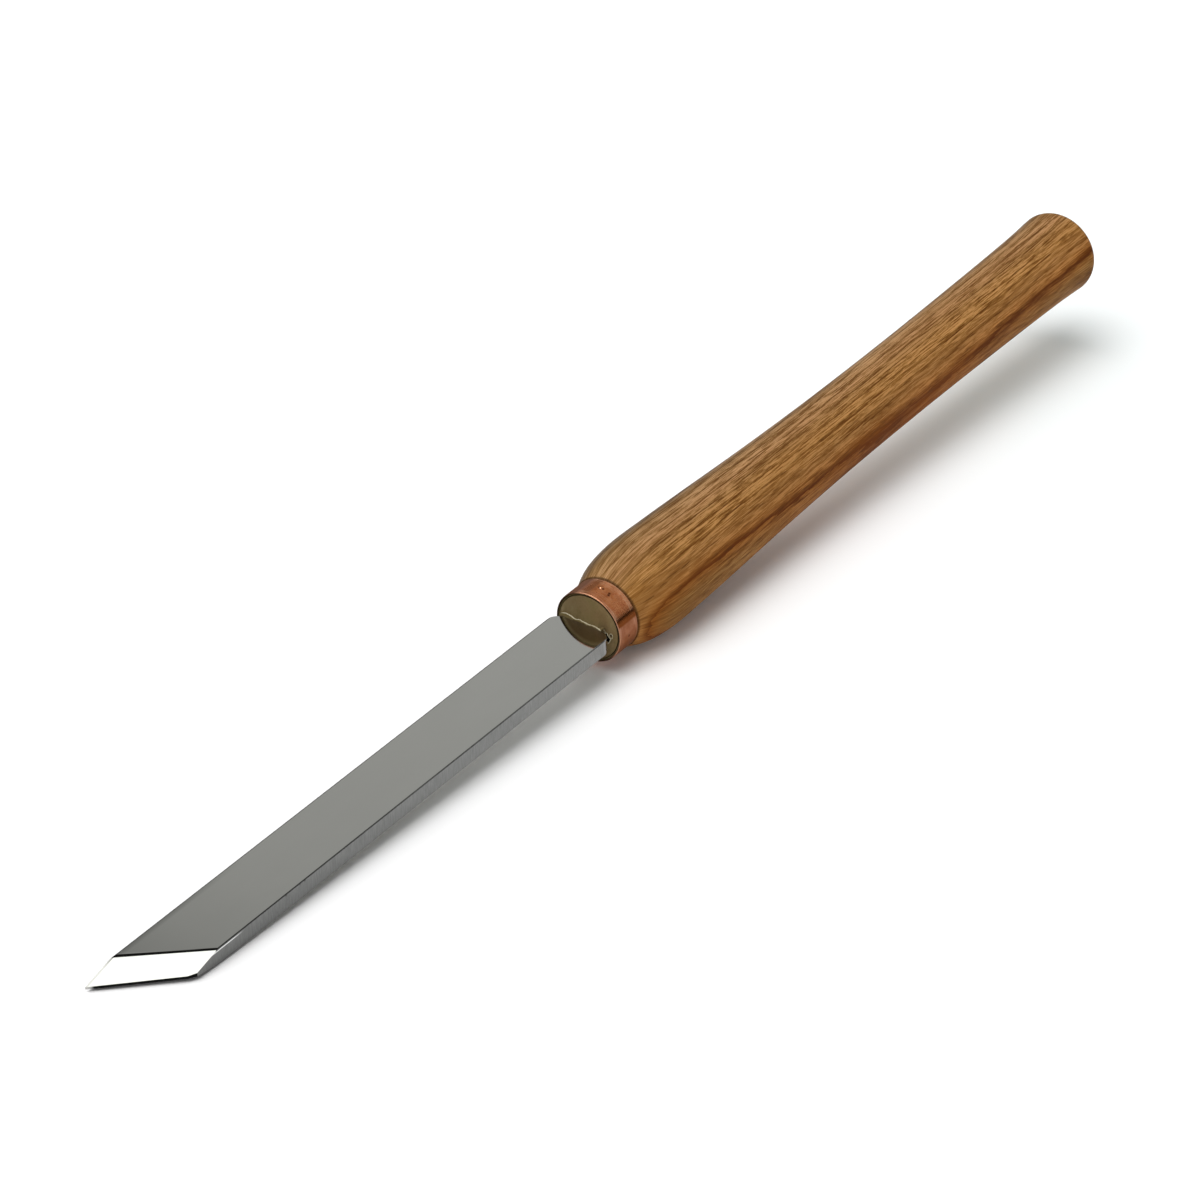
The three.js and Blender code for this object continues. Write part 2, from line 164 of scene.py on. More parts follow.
class Graph:
    """A node tree with short calls. Numbers go straight on the sockets."""

    def __init__(self, tree):
        self.tree = tree
        tree.nodes.clear()

    def node(self, kind, inputs=None, **props):
        made = self.tree.nodes.new(kind)
        for key, value in props.items():
            setattr(made, key, value)
        for key, value in (inputs or {}).items():
            self.put(made.inputs[key], value)
        return made

    def put(self, socket, value):
        if isinstance(value, bpy.types.NodeSocket):
            self.tree.links.new(value, socket)
        else:
            socket.default_value = value

    def math(self, operation, a, b=0.0, clamp=False):
        return self.node("ShaderNodeMath", {0: a, 1: b}, operation=operation, use_clamp=clamp).outputs[0]

    def add(self, a, b, clamp=False):
        return self.math("ADD", a, b, clamp)

    def subtract(self, a, b):
        return self.math("SUBTRACT", a, b)

    def multiply(self, first, *others):
        for other in others:
            first = self.math("MULTIPLY", first, other)
        return first

    def most(self, first, *others):
        for other in others:
            first = self.math("MAXIMUM", first, other)
        return first

    def vmath(self, operation, a, b=(0, 0, 0)):
        inputs = {0: a, (3 if operation == "SCALE" else 1): b}
        made = self.node("ShaderNodeVectorMath", inputs, operation=operation)
        return made.outputs["Value" if operation in ("LENGTH", "DISTANCE", "DOT_PRODUCT") else "Vector"]

    def shade(self, colour, factor):
        return self.vmath("SCALE", colour, factor)

    def tint(self, colour, other):
        return self.vmath("MULTIPLY", colour, other)

    def toward(self, place, way, slope=0.0):
        """How far a place lies out from the long axis, along a way round it in radians."""
        return self.vmath("DOT_PRODUCT", place, (slope, math.cos(way), math.sin(way)))

    def split(self, vector):
        return tuple(self.node("ShaderNodeSeparateXYZ", {0: vector}).outputs)

    def join(self, x, y, z):
        return self.node("ShaderNodeCombineXYZ", {0: x, 1: y, 2: z}).outputs[0]

    def from_axis(self, place):
        return self.vmath("LENGTH", self.vmath("MULTIPLY", place, (0, 1, 1)))

    def noise(self, place, along, across=None, detail=2.0, roughness=0.5, distortion=0.0):
        """Noise with so many waves to a millimetre along the tool and across it."""
        across = across or along
        inputs = {
            "Vector": self.vmath("MULTIPLY", place, (along, across, across)), "Scale": 1.0,
            "Detail": detail, "Roughness": roughness, "Distortion": distortion,
        }
        return self.node("ShaderNodeTexNoise", inputs).outputs["Fac"]

    def ramp(self, factor, stops):
        made = self.node("ShaderNodeValToRGB", {"Fac": factor})
        elements = made.color_ramp.elements
        while len(elements) < len(stops):
            elements.new(0.5)
        for element, (place, colour) in zip(elements, stops):
            element.position = place
            element.color = (*colour, 1) if isinstance(colour, tuple) else (colour, colour, colour, 1)
        return made.outputs["Color"]

    def range(self, value, low, high, to_low=0.0, to_high=1.0, kind="LINEAR"):
        inputs = {"Value": value, "From Min": low, "From Max": high, "To Min": to_low, "To Max": to_high}
        return self.node("ShaderNodeMapRange", inputs, interpolation_type=kind).outputs["Result"]

    def mix(self, factor, a, b):
        made = self.node("ShaderNodeMix", {0: factor}, data_type="RGBA")
        self.put(made.inputs[6], (*a, 1) if isinstance(a, tuple) else a)
        self.put(made.inputs[7], (*b, 1) if isinstance(b, tuple) else b)
        return made.outputs[2]

    def bump(self, height, distance, strength):
        inputs = {"Height": height, "Distance": distance, "Strength": strength}
        return self.node("ShaderNodeBump", inputs).outputs["Normal"]

    def finish(self, **inputs):
        """Closes the graph with a Principled shader whose inputs are named with _ for a space."""
        inputs = {key.replace("_", " "): value for key, value in inputs.items()}
        shader = self.node("ShaderNodeBsdfPrincipled", inputs)
        self.node("ShaderNodeOutputMaterial", {"Surface": shader.outputs[0]})


def material(name):
    """(material, its graph, its places in the tool's own frame in millimetres)"""
    made = bpy.data.materials.new(name)
    made.use_nodes = True
    g = Graph(made.node_tree)
    place = g.node("ShaderNodeTexCoord").outputs["Object"]
    moved = g.vmath("SUBTRACT", g.vmath("MULTIPLY", place, (1 / MM,) * 3), LIE)
    axes = [g.vmath("DOT_PRODUCT", moved, PLACE.col[k].to_3d()) for k in range(3)]
    return made, g, g.join(*axes)


# Wood

# The growth rings are almost flat sheets here. Their normal points to the near side and a little down,
# and depth is measured along it, from the sapwood on the far side to the heart on the near side.
RING_WAY, RING_SLOPE, RING_PITCH, RING_START = math.radians(195), 0.0067, 2.95, 16.2
RING_DRIFT, RING_WAVER = 0.7, 0.45
RING_SHAPE = [
    (0.0, 0.05), (0.35, 0.02), (0.68, 0.22), (0.88, 0.62), (0.95, 1.0), (0.985, 0.95), (1.0, 0.05),
]
HEART, HEART_LINE, HEART_LINE_FADE, HEART_BROAD = (10.6, 12.8), 13.3, (0.75, 0.1), (185, 210)
BEND_SPAN, BEND_SHIFT = (120, 270), (-0.36, 0.5)
BEND_SHARES = [(0.0, 0.42), (0.29, 1.0), (0.47, 1.0), (0.63, 0.42), (0.95, 0.0)]
STREAK_RADIUS, LEAST_RADIUS = 13.5, 10.0
LIVELY, CALM_FRONT = (5, 9), (14, 50)
STAIN_MIDDLE, STAIN_FADE, STAIN_DEPTH = 150, (55, 15), (11.3, 12.3)
TONE_MIDDLE = 0.34
WOOD_TONES = [
    (0.0, (0.43, 0.212, 0.080)), (0.3, (0.275, 0.130, 0.041)),
    (0.65, (0.180, 0.073, 0.018)), (1.0, (0.100, 0.033, 0.006)),
]
WOOD_PATCH, WOOD_PORE = (0.22, 0.092, 0.025), (0.09, 0.032, 0.006)
HEART_RED, HEART_DARK, HEART_TURN = (0.15, 0.050, 0.008), (0.110, 0.034, 0.003), (40, 110)
STAIN_RED, STAIN_DARK = (0.27, 0.10, 0.016), (0.14, 0.042, 0.004)
GROOVE, GROOVE_SHADE = (9.3, 9.0), (0.05, 0.02, 0.008)
# The wood's tint at each depth, with a painted shade at the far upper outline, to be multiplied by TINT_GAIN
TINT_GAIN, TINT_REACH = 1.5, 15
WOOD_TINT_AND_SHADE = [
    (-12.2, (0.27, 0.35, 0.47)), (-10.25, (0.33, 0.40, 0.485)), (-8.3, (0.49, 0.55, 0.58)),
    (-5.9, (0.70, 0.82, 1.0)), (-1.2, (0.73, 0.79, 0.90)), (1.2, (0.67, 0.71, 0.70)),
    (3.6, (0.81, 0.84, 0.77)), (5.9, (0.86, 0.88, 0.77)), (9.9, (0.81, 0.79, 0.70)),
    (11.5, (0.95, 0.87, 0.70)), (12.7, (0.63, 0.45, 0.22)), (14, (0.69, 0.62, 0.42)),
    (14.5, (0.70, 0.70, 0.55)),
]
GLOSS_DEPTH, GRAIN_RELIEF = (7, 11), 0.05


def wood_material():
    made, g, p = material("varnished_wood")
    x, _, _ = g.split(p)
    depth = g.toward(p, RING_WAY, RING_SLOPE)
    drift = g.noise(p, 0.012, 0.04, detail=1.0)
    waver = g.noise(p, 0.05, 0.45, detail=4.0, roughness=0.6)
    ring = g.add(depth, g.range(drift, 0.3, 0.7, -RING_DRIFT, RING_DRIFT))
    ring = g.add(ring, g.range(waver, 0.3, 0.7, -RING_WAVER, RING_WAVER))
    # The line of the heart bends a little on its way to the butt
    bend = g.ramp(g.range(x, *BEND_SPAN), BEND_SHARES)
    bent = g.add(ring, g.range(bend, 0, 1, *BEND_SHIFT))
    band = g.ramp(g.math("FRACT", g.math("DIVIDE", g.add(bent, RING_START), RING_PITCH)), RING_SHAPE)
    heart = g.range(ring, *HEART)
    # The streaks keep their width on the surface, whatever its radius
    across = g.math("DIVIDE", STREAK_RADIUS, g.most(g.from_axis(p), LEAST_RADIUS))
    run = g.vmath("MULTIPLY", p, g.join(1.0, across, across))
    line = g.noise(run, 0.028, 1.7, detail=4.0, roughness=0.62, distortion=0.2)
    fibre = g.noise(run, 0.13, 2.7, detail=4.0, roughness=0.72)
    pores = g.noise(run, 0.15, 2.6, detail=1.5, roughness=0.5, distortion=0.3)
    pore = g.multiply(g.range(pores, 0.58, 0.66), g.range(band, 0.0, 0.7, 0.5, 1.0))
    patch = g.noise(p, 0.018, 0.13, detail=2.0)

    tone = g.multiply(band, g.range(heart, 0, 1, 0.42, 0.75))
    tone = g.add(tone, g.range(line, 0.34, 0.66, -0.04, 0.48))
    tone = g.add(tone, g.range(fibre, 0.3, 0.7, -0.56, 0.6))
    # The sapwood side is livelier, and the turned-down front is calmer
    gain = g.multiply(g.range(depth, *LIVELY, 1.75, 1.1), g.range(x, *CALM_FRONT, 0.42, 1.0))
    tone = g.add(g.multiply(g.subtract(tone, TONE_MIDDLE), gain), TONE_MIDDLE, clamp=True)
    colour = g.ramp(tone, WOOD_TONES)
    colour = g.mix(g.range(patch, 0.35, 0.7, 0.0, 0.3), colour, WOOD_PATCH)
    # The line of the heart is broad and soft towards the butt
    broad = g.math("ABSOLUTE", g.subtract(bent, HEART_LINE))
    broad = g.multiply(g.range(broad, *HEART_LINE_FADE, kind="SMOOTHSTEP"), g.range(x, *HEART_BROAD))
    red = g.multiply(heart, g.most(band, broad), 0.8, g.range(fibre, 0.38, 0.6, 0.62, 1.1))
    colour = g.mix(red, colour, g.mix(g.range(x, *HEART_TURN), HEART_RED, HEART_DARK))
    # A stain lies along the middle of the heart side
    stain = g.math("ABSOLUTE", g.subtract(x, STAIN_MIDDLE))
    stain = g.multiply(g.range(stain, *STAIN_FADE, kind="SMOOTHSTEP"), g.range(ring, *STAIN_DEPTH, 0.0, 0.7))
    stain = g.multiply(stain, g.range(fibre, 0.35, 0.6, 0.6, 1.0))
    colour = g.mix(stain, colour, g.mix(g.range(patch, 0.45, 0.6), STAIN_RED, STAIN_DARK))
    # The tint is cool on the sapwood side and warm towards the heart, and painted dark and grey along the
    # far upper outline as shade
    stops = [((at + TINT_REACH) / (2 * TINT_REACH), tint) for at, tint in WOOD_TINT_AND_SHADE]
    colour = g.tint(colour, g.ramp(g.range(depth, -TINT_REACH, TINT_REACH), stops))
    colour = g.shade(colour, TINT_GAIN)
    colour = g.mix(g.multiply(pore, 0.7), colour, WOOD_PORE)
    # Painted shade darkens the groove behind the ferrule
    colour = g.mix(g.range(x, *GROOVE, 0.0, 0.65), colour, GROOVE_SHADE)
    height = g.subtract(g.multiply(fibre, 0.25), pore)
    g.finish(
        Base_Color=colour, Roughness=g.range(tone, 0, 1, 0.42, 0.55), IOR=1.45,
        Specular_IOR_Level=g.range(depth, *GLOSS_DEPTH, 0.05, 0.03),
        Normal=g.bump(height, GRAIN_RELIEF * MM, 0.35),
    )
    return made


# Steel

# Each finish is a dark and a pale colour, and the roughness between its scratches and in them
POLISHED = (0.565, 0.57, 0.53), (0.60, 0.605, 0.565), (0.045, 0.085)
# The sides' coarser ground finish is also painted darker, a painted reflection of the floor in shade
GROUND_AND_SHADED = (0.19, 0.193, 0.187), (0.24, 0.243, 0.236), (0.14, 0.26)
# The underside is painted dark, a painted shade that also deepens the shadow under the blade
UNDERSIDE_SHADE = (0.055, 0.055, 0.052), (0.08, 0.08, 0.076), (0.12, 0.2)
TOP_FACE = THICK / 2 - SEAT_DROP - 0.14, THICK / 2 - SEAT_DROP - 0.06
# The upper face is painted darker towards the tip, a painted reflection
TIP_SPAN, TIP_SHADES = (-200, 0), [(0.0, 0.66), (0.075, 0.76), (0.15, 0.89), (0.25, 0.975), (0.35, 1.0)]
# A painted reflection of the end face on the upper face, in front of the ferrule, ends along a slant curve
REFLECTION_SLOPES, REFLECTION_LEVEL, REFLECTION_EDGE, REFLECTION_TINT = (0.73, 0.83), 2.1, (9.7, 8.4), (0.58, 0.50, 0.42)
# Painted shade along the far edge near the tip and at the far corner
FAR_TIP, FAR_STRIP, FAR_CORNER, FAR_POINT = (-140, -165), (8.2, 9.7), (9.72, 9.9), (-194, -189)
GROUND_SPAN, GROUND_TIP_SHADE = (-190, -10), 0.72
SHOULDER_HIGHLIGHT_SPAN, SHOULDER_HIGHLIGHT_STEEL = (-6.6, -4.6), (0.46, 0.47, 0.48)
LINE_FOOT, LINE_TOP, LINE_START, LINE_SIDE = (1.34, 1.44), (1.74, 1.64), (-163, -167), (-9, -9.5)
HIGHLIGHT_LINE_STEEL = (0.85, 0.85, 0.84)
PIT_EDGE, PIT_COLOUR = (0.42, 0.22), (0.03, 0.026, 0.022)
SCRATCH_RELIEF = 0.0008
EDGE_DARK, EDGE_PALE, EDGE_RELIEF = (0.004, 0.004, 0.004), (0.012, 0.012, 0.011), 0.01
BRIGHT_POINT, POINT_STEEL = (-199.3, -200.0), (0.6, 0.6, 0.58)


def steel_material(name, dark, pale, roughness, ground=False):
    """Steel shaded by place, with fine scratches along it and pits."""
    made, g, p = material(name)
    x, y, z = g.split(p)
    swirl = g.noise(p, 0.05, 0.12, detail=3.0)
    scratch = g.noise(p, 0.06, 6.0, detail=3.0, roughness=0.6)
    colour = g.mix(swirl, dark, pale)
    if ground:
        # The sides are painted darker towards the tip, a painted reflection of the floor in shade
        colour = g.shade(colour, g.range(x, *GROUND_SPAN, GROUND_TIP_SHADE, 1.0))
    # Painted reflections darken the upper face towards the tip and where it mirrors the end face, and
    # painted shade darkens the far edge near the tip and the far corner
    level = g.add(z, g.multiply(x, math.tan(SEAT_RISE)))
    top = g.range(level, *TOP_FACE)
    colour = g.mix(top, colour, g.tint(colour, g.ramp(g.range(x, *TIP_SPAN), TIP_SHADES)))
    side, rise = (g.multiply(x, slope) for slope in REFLECTION_SLOPES)
    end_face_reflection = g.vmath("LENGTH", g.join(0.0, g.subtract(y, side), g.subtract(REFLECTION_LEVEL, rise)))
    end_face_reflection = g.multiply(g.range(end_face_reflection, *REFLECTION_EDGE), top)
    colour = g.mix(end_face_reflection, colour, g.tint(colour, REFLECTION_TINT))
    shaded = g.multiply(g.range(x, *FAR_TIP, 0.0, 0.3), g.range(y, *FAR_STRIP), top)
    corner = g.multiply(g.range(y, *FAR_CORNER, 0.0, 0.8), g.range(x, *FAR_POINT, 0.3, 1.0))
    colour = g.shade(colour, g.subtract(1.0, g.most(shaded, corner)))
    if ground:
        # The grinding left fine lines across, and the near shoulder's rounded corner gets a painted
        # highlight
        cross = g.noise(p, 1.9, 0.2, detail=3.0, roughness=0.7)
        colour = g.shade(colour, g.range(cross, 0.3, 0.7, 0.82, 1.18))
        colour = g.mix(g.range(x, *SHOULDER_HIGHLIGHT_SPAN, 0.0, 0.8), colour, SHOULDER_HIGHLIGHT_STEEL)
        # A painted highlight runs as a bright line along the top of the near side, behind the heel
        bright = g.multiply(g.range(level, *LINE_FOOT), g.range(level, *LINE_TOP))
        bright = g.multiply(bright, g.range(x, *LINE_START), g.range(y, *LINE_SIDE))
        colour = g.mix(bright, colour, HIGHLIGHT_LINE_STEEL)
    for spot in PITS:
        near = g.range(g.vmath("DISTANCE", p, spot), *PIT_EDGE, 0.0, 0.85)
        colour = g.mix(near, colour, PIT_COLOUR)
    g.finish(
        Base_Color=colour, Metallic=1.0, Roughness=g.range(scratch, 0.3, 0.7, *roughness),
        Normal=g.bump(scratch, SCRATCH_RELIEF * MM, 0.5),
    )
    return made


def edge_material():
    """The blunt face of the cutting edge is painted near black as shade, and its very point is kept bright.
    """
    made, g, p = material("painted_shade_edge")
    x, _, _ = g.split(p)
    grit = g.noise(p, 4.0, detail=3.0)
    colour = g.mix(grit, EDGE_DARK, EDGE_PALE)
    colour = g.mix(g.range(x, *BRIGHT_POINT), colour, POINT_STEEL)
    g.finish(
        Base_Color=colour, Metallic=0.6, Roughness=0.7, Specular_IOR_Level=0.05,
        Normal=g.bump(grit, EDGE_RELIEF * MM, 0.4),
    )
    return made


# Copper

# A side of the ferrule is a way round it, and how far out along that way it fades in
FAR_SHADE_SIDE, DIM_TOP, MATTE_TOP = (20, 5.4, 7.4), (76, 10.6, 10.85), (110, 10.5, 10.85)
HORIZON_BAND, LOW_SIDE, RIM_WAY = (157, 10.91, 10.96), (205, 6.9, 8.0), 145
COPPER, COPPER_DEEP = (0.86, 0.38, 0.17), (0.74, 0.27, 0.11)
COPPER_RED, COPPER_PALE = (0.48, 0.10, 0.04), (0.92, 0.57, 0.36)
AGED_SPAN, AGED_TINT, DIM_COLOUR = (5.8, 6.9), (0.78, 0.66, 0.54), (0.32, 0.115, 0.048)
LOW_PALE, LOW_DARK, HORIZON_BAND_COLOUR = (0.31, 0.135, 0.075), (0.24, 0.09, 0.045), (0.17, 0.048, 0.012)
FAR_SHADE_COLOURS = (0.145, 0.075, 0.050), (0.120, 0.052, 0.029)
LATHE_SPAN, LATHE_PALE, LATHE_LOW = (2.0, 3.4), (0.86, 0.52, 0.34), (0.44, 0.23, 0.15)
DENT_HIGHLIGHT, DARK_DENT, MARK_CORE_SHARE = (0.4, (0.98, 0.80, 0.66)), (0.5, (0.10, 0.022, 0.008)), 0.56
RIM_PLACE, RIM_RADIUS, RIM_LIGHT_SPAN = (0.14, 0.06), (10.70, 10.76), (1.5, 4.0)
RIM_SHADE, RIM_WORN_HIGHLIGHT = (0.05, 0.025, 0.015), (0.50, 0.25, 0.15)
GLUED_RADIUS, CRUST_LIGHT_SPAN, CRUST_RADIUS = (10.74, 10.68), (-2, 5), (10.46, 10.36)
CRUST_IN_SHADE, CRUST_LIT, CRUST_INNER = (0.022, 0.014, 0.008), (0.11, 0.055, 0.027), (0.125, 0.098, 0.040)
COPPER_SHEEN, COPPER_RELIEF = (0.78, 0.52, 0.4, 1), 0.004


def on_ferrule(place, degrees):
    """A place on the ferrule's outside."""
    turn = math.radians(degrees)
    return place, FERRULE_RADIUS * math.cos(turn), FERRULE_RADIUS * math.sin(turn)


def copper_material():
    made, g, p = material("worked_copper")
    x, _, _ = g.split(p)
    radius = g.from_axis(p)
    tarnish = g.noise(p, 0.35, detail=4.0, roughness=0.6)
    speck = g.noise(p, 1.7, detail=4.0, roughness=0.7)
    turning = g.noise(p, 3.2, 0.1, detail=3.0, roughness=0.65)
    colour = g.mix(g.range(tarnish, 0.35, 0.65), COPPER, COPPER_DEEP)
    colour = g.mix(g.range(speck, 0.54, 0.66, 0.0, 0.75), colour, COPPER_RED)
    colour = g.mix(g.range(speck, 0.44, 0.34, 0.0, 0.5), colour, COPPER_PALE)
    # All but the back is browner. The far side and the top are painted darker as shade, and the near
    # underside is painted as a dim reflection of the floor, with a dark band above it, a painted reflection
    # of the horizon.
    far, dim, matte, band, low = (
        g.range(g.toward(p, math.radians(way)), start, end)
        for way, start, end in (FAR_SHADE_SIDE, DIM_TOP, MATTE_TOP, HORIZON_BAND, LOW_SIDE)
    )
    colour = g.mix(g.range(x, *AGED_SPAN, 1.0, 0.1), colour, g.tint(colour, AGED_TINT))
    colour = g.mix(g.multiply(dim, 0.95), colour, DIM_COLOUR)
    colour = g.mix(low, colour, g.mix(g.range(tarnish, 0.4, 0.6), LOW_PALE, LOW_DARK))
    colour = g.mix(g.multiply(band, 0.95), colour, HORIZON_BAND_COLOUR)
    colour = g.mix(far, colour, g.mix(speck, *FAR_SHADE_COLOURS))
    # Lines left by the lathe near both edges, darker within the near underside's painted reflection
    off_middle = g.math("ABSOLUTE", g.subtract(x, FERRULE_LENGTH / 2))
    lines = g.multiply(g.range(turning, 0.45, 0.62), g.range(off_middle, *LATHE_SPAN, 0.15, 0.75))
    lines = g.multiply(lines, g.subtract(1.0, g.most(far, band)))
    colour = g.mix(lines, colour, g.mix(low, LATHE_PALE, LATHE_LOW))
    # The deepest dent carries a painted highlight. The others are dark at their middles, and so are three
    # places near it.
    marks = [(DENTS[0][:2], DENT_HIGHLIGHT)] + [(stain, DARK_DENT) for stain in DARK_SPOTS]
    for spot, (size, tone) in marks:
        away = g.vmath("DISTANCE", p, on_ferrule(*spot))
        colour = g.mix(g.range(away, size, size * MARK_CORE_SHARE, 0.0, 0.9), colour, tone)
    # The outer corner shows wear and a painted highlight on the near side and painted shade elsewhere. The
    # inner slope holds old glue, painted black as shade on the far side and brown where lit.
    nearer = g.toward(p, math.radians(RIM_WAY))
    worn = g.multiply(g.range(x, *RIM_PLACE), g.range(radius, *RIM_RADIUS))
    colour = g.mix(worn, colour, g.mix(g.range(nearer, *RIM_LIGHT_SPAN), RIM_SHADE, RIM_WORN_HIGHLIGHT))
    glued = g.range(radius, *GLUED_RADIUS)
    crust = g.mix(g.range(nearer, *CRUST_LIGHT_SPAN), CRUST_IN_SHADE, CRUST_LIT)
    crust = g.mix(g.range(radius, *CRUST_RADIUS), crust, CRUST_INNER)
    colour = g.mix(glued, colour, crust)
    rough = g.add(g.range(turning, 0.3, 0.7, 0.16, 0.24), g.multiply(glued, 0.45))
    rough = g.add(rough, g.multiply(g.most(low, worn), 0.14))
    rough = g.add(rough, g.multiply(far, 0.3))
    plain = g.most(glued, g.multiply(worn, 0.6), far, g.multiply(matte, 0.35))
    g.finish(
        Base_Color=colour, Metallic=g.range(plain, 0, 1, 0.92, 0.0), Roughness=rough,
        Specular_IOR_Level=g.range(far, 0, 1, 0.2, 0.0), Specular_Tint=COPPER_SHEEN,
        Normal=g.bump(g.add(turning, speck), COPPER_RELIEF * MM, 0.4),
    )
    return made


# Epoxy

# The end face is paler on the near side, with a browner cloud above the near end of the blade
EPOXY_TONES = [
    (0.3, (0.134, 0.098, 0.041)), (0.5, (0.149, 0.102, 0.0475)), (0.7, (0.160, 0.118, 0.056)),
]
EPOXY_SPAN, EPOXY_SHADES = (5, -7), (0.92, 1.32)
CLOUD_AT, CLOUD_EDGE, CLOUD_COLOUR = (0, -4.2, 4.2), (4.2, 1.2), (0.150, 0.092, 0.040)
EPOXY_GRAIN, EPOXY_SHELF_SHADE, EPOXY_HOLE_SHADE = (0.085, 0.060, 0.022), (0.066, 0.056, 0.022), (0.006, 0.005, 0.003)
SHELF_SHADE, HOLE_SHADE, EPOXY_RELIEF = (0.1, -1.3), (0.26, 0.42), 0.06
CREAM_DARK, CREAM_PALE, CREAM_RELIEF = (0.30, 0.26, 0.16), (0.60, 0.54, 0.38), 0.08


def epoxy_material():
    made, g, p = material("epoxied_end")
    x, y, _ = g.split(p)
    cloud = g.noise(p, 0.3, 0.16, detail=3.0, distortion=0.6)
    grain = g.noise(p, 0.5, 1.4, detail=4.0, roughness=0.65)
    colour = g.shade(g.ramp(cloud, EPOXY_TONES), g.range(y, *EPOXY_SPAN, *EPOXY_SHADES))
    brown = g.range(g.vmath("DISTANCE", p, CLOUD_AT), *CLOUD_EDGE, 0.0, 0.6, "SMOOTHSTEP")
    colour = g.mix(brown, colour, CLOUD_COLOUR)
    colour = g.mix(g.range(grain, 0.45, 0.75, 0.0, 0.35), colour, EPOXY_GRAIN)
    # The squeezed-out part is painted darker as shade, and holes in it are painted black as shade
    colour = g.mix(g.range(x, *SHELF_SHADE, 0.0, 0.55), colour, EPOXY_SHELF_SHADE)
    colour = g.mix(g.range(x, *HOLE_SHADE), colour, EPOXY_HOLE_SHADE)
    g.finish(
        Base_Color=colour, Roughness=g.range(grain, 0.3, 0.7, 0.38, 0.55), IOR=1.5,
        Specular_IOR_Level=0.05, Normal=g.bump(grain, EPOXY_RELIEF * MM, 0.5),
    )
    return made


def bead_material():
    made, g, p = material("cream_epoxy")
    foam = g.noise(p, 3.0, detail=3.0)
    colour = g.mix(g.range(foam, 0.35, 0.65), CREAM_DARK, CREAM_PALE)
    g.finish(Base_Color=colour, Roughness=0.55, IOR=1.5, Normal=g.bump(foam, CREAM_RELIEF * MM, 0.6))
    return made


# Mesh helpers

SHARP, BLADE_SHARP = math.radians(35), math.radians(20)
# A small rounded corner has its middle point at this share of its ease inside the square corner
ROUNDING_SHARE = 0.3


def arc(cx, cy, radius, start, end, steps):
    """Points of an arc, its two ends included."""
    angles = [start + (end - start) * k / steps for k in range(steps + 1)]
    return [(cx + radius * math.cos(a), cy + radius * math.sin(a)) for a in angles]


def catmull_rom(points, steps):
    """A smooth curve through the points."""
    made = []
    last = len(points) - 1
    for i in range(last):
        p0, p1 = np.array(points[max(i - 1, 0)]), np.array(points[i])
        p2, p3 = np.array(points[i + 1]), np.array(points[min(i + 2, last)])
        v0, v1 = (p2 - p0) / 2, (p3 - p1) / 2
        for k in range(steps):
            t = k / steps
            spot = (
                (2 * p1 - 2 * p2 + v0 + v1) * t**3
                + (3 * p2 - 3 * p1 - 2 * v0 - v1) * t**2 + v0 * t + p1
            )
            made.append(tuple(float(c) for c in spot))
    made.append(tuple(points[-1]))
    return made


def inset(points, distance):
    """The closed outline moved inwards by a distance."""
    made = []
    count = len(points)
    for k in range(count):
        a, b, c = (np.array(points[j % count]) for j in (k - 1, k, k + 1))
        u, v = (b - a) / np.linalg.norm(b - a), (c - b) / np.linalg.norm(c - b)
        n, m = np.array((-u[1], u[0])), np.array((-v[1], v[0]))
        made.append(tuple(b + (n + m) * distance / (1 + n @ m)))
    return made


def smoothstep(value, low, high):
    """0 at low, 1 at high and smooth between them. Low may lie above high."""
    t = min(max((value - low) / (high - low), 0), 1)
    return t * t * (3 - 2 * t)


def smooth_noise(seed, count, size):
    """Seeded waviness: count values, each wave about size values long."""
    rng = np.random.default_rng(seed)
    coarse = rng.normal(size=count // size + 3)
    return np.interp(np.arange(count) / size, np.arange(len(coarse)), coarse)


def new_object(name, bm, materials, matrix=PLACE, sharp=SHARP):
    """An object from a bmesh in millimetres, smooth but for its sharp edges."""
    bmesh.ops.recalc_face_normals(bm, faces=bm.faces)
    for face in bm.faces:
        face.smooth = True
    for edge in bm.edges:
        edge.smooth = len(edge.link_faces) == 2 and edge.calc_face_angle() < sharp
    bmesh.ops.scale(bm, vec=(MM, MM, MM), verts=bm.verts)
    bmesh.ops.transform(bm, matrix=matrix, verts=bm.verts)
    mesh = bpy.data.meshes.new(name)
    bm.to_mesh(mesh)
    bm.free()
    for one in materials:
        mesh.materials.append(one)
    made = bpy.data.objects.new(name, mesh)
    bpy.context.scene.collection.objects.link(made)
    return made


def bridge(bm, a, b):
    """Faces between two closed rings of vertices, either of which may be a single vertex."""
    count = max(len(a), len(b))
    for k in range(count):
        j = (k + 1) % count
        corners = [a[k % len(a)], a[j % len(a)], b[j % len(b)], b[k % len(b)]]
        kept = list(dict.fromkeys(corners))
        if len(kept) > 2:
            bm.faces.new(kept)


def turned(outline, segments, radius_at=None):
    """A bmesh of the outline, places and radii, turned round the long axis."""
    bm = bmesh.new()
    rings = []
    for x, radius in outline:
        if radius == 0:
            rings.append([bm.verts.new((x, 0, 0))])
            continue
        ring = []
        for k in range(segments):
            angle = 2 * math.pi * k / segments
            r = radius_at(x, radius, angle) if radius_at else radius
            ring.append(bm.verts.new((x, r * math.cos(angle), r * math.sin(angle))))
        rings.append(ring)
    for a, b in zip(rings, rings[1:]):
        bridge(bm, a, b)
    if len(rings[0]) > 1 and len(rings[-1]) > 1:
        bridge(bm, rings[-1], rings[0])
    return bm


